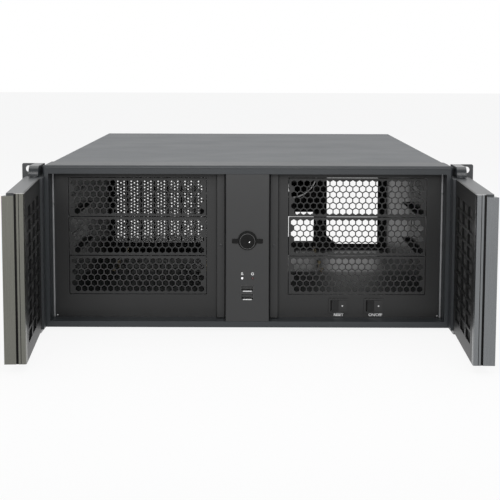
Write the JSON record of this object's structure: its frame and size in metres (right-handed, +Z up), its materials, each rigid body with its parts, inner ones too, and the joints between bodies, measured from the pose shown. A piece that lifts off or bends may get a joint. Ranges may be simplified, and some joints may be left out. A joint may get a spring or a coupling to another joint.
{
  "type": "rackmount server case",
  "caption": "Empty deep rackmount server case, four units high, with two vented front doors, perforated drive bay covers, lock column and rear openings.",
  "frame": {"origin": "on the underside, midway between the sides, in the plane of the rack ears' front faces", "axes": "+X to the right seen from the front, +Y from the front into the case, +Z up"},
  "size_m": [0.4826, 0.8894, 0.177],
  "materials": {
    "black_coat": "fine textured black powder coat",
    "door_coat": "satin black moulded",
    "door_aluminium": "dark anodised, satin",
    "plated_steel": "plated",
    "black_plastic": "fine texture",
    "black_casting": "black coat",
    "filter_foam": "open foam",
    "steel_pin": "zinc plated",
    "brass": "turned",
    "board": "circuit board",
    "lamp": "diffuse lens"
  },
  "bodies": {
    "case": {"chassis_tray": "black_coat", "top_cover": "black_coat", "rear_panel": "black_coat", "slot_frame": "black_coat", "slot_cover_1": "plated_steel", "slot_cover_2": "plated_steel", "slot_cover_3": "plated_steel", "slot_cover_4": "plated_steel", "slot_cover_5": "plated_steel", "slot_cover_6": "plated_steel", "slot_cover_7": "plated_steel", "front_frame": "black_coat", "bay_plate": "black_coat", "bay_cover_left_1": "black_coat", "bay_cover_left_2": "black_coat", "bay_cover_left_3": "black_coat", "bay_cover_right_1": "black_coat", "bay_cover_right_2": "black_coat", "bay_cover_right_3": "black_coat", "drive_cage_left": "black_coat", "drive_cage_right": "black_coat", "column_panel": "black_plastic", "column_strip_left": "black_plastic", "column_strip_right": "black_plastic", "lock_escutcheon": "black_casting", "front_board": "board", "usb_socket_upper": "steel_pin", "usb_socket_lower": "steel_pin", "led_disk": "lamp", "led_power": "lamp", "reset_switch_housing": "black_plastic", "power_switch_housing": "black_plastic", "rack_ear_left": "black_coat", "rack_ear_right": "black_coat", "hinge_arm_left_top": "black_casting", "hinge_arm_left_bottom": "black_casting", "hinge_arm_right_top": "black_casting", "hinge_arm_right_bottom": "black_casting", "fan_frame_left": "black_plastic", "fan_frame_right": "black_plastic", "standoffs": "brass", "cover_screws": "steel_pin", "ear_screws": "steel_pin", "slot_screws": "steel_pin"},
    "left_door": {"left_door_shell": "door_coat", "left_door_grille": "door_coat", "left_door_filter": "filter_foam", "left_door_edge": "door_aluminium", "left_door_pins": "steel_pin"},
    "right_door": {"right_door_shell": "door_coat", "right_door_grille": "door_coat", "right_door_filter": "filter_foam", "right_door_edge": "door_aluminium", "right_door_pins": "steel_pin"},
    "lock": {"lock_core": "steel_pin", "lock_cam": "steel_pin"},
    "reset_button": {"reset_rocker": "black_plastic"},
    "power_button": {"power_rocker": "black_plastic"},
    "left_fan": {"fan_rotor_left": "black_plastic"},
    "right_fan": {"fan_rotor_right": "black_plastic"}
  },
  "joints": [
    {"name": "left_door_hinge", "type": "hinge", "parent": "case", "child": "left_door", "pos_m": [-0.2228, -0.03875, 0.0885], "axis": [0, 0, 1], "range_deg": [-24, 86.4]},
    {"name": "right_door_hinge", "type": "hinge", "parent": "case", "child": "right_door", "pos_m": [0.2228, -0.03875, 0.0885], "axis": [0, 0, 1], "range_deg": [-88, 24]},
    {"name": "lock_turn", "type": "hinge", "parent": "case", "child": "lock", "pos_m": [0, -0.02, 0.097], "axis": [0, 1, 0], "range_deg": [0, 90]},
    {"name": "reset_press", "type": "hinge", "parent": "case", "child": "reset_button", "pos_m": [0.0982, 0, 0.0239], "axis": [0, 0, 1], "range_deg": [-16, 0], "stiffness_Nm_per_rad": 0.2},
    {"name": "power_rock", "type": "hinge", "parent": "case", "child": "power_button", "pos_m": [0.1365, 0, 0.0239], "axis": [0, 0, 1], "range_deg": [-16, 0]},
    {"name": "left_fan_spin", "type": "hinge", "parent": "case", "child": "left_fan", "pos_m": [-0.017, 0.638, 0.12], "axis": [0, 1, 0], "continuous": true},
    {"name": "right_fan_spin", "type": "hinge", "parent": "case", "child": "right_fan", "pos_m": [0.065, 0.638, 0.12], "axis": [0, 1, 0], "continuous": true}
  ]
}
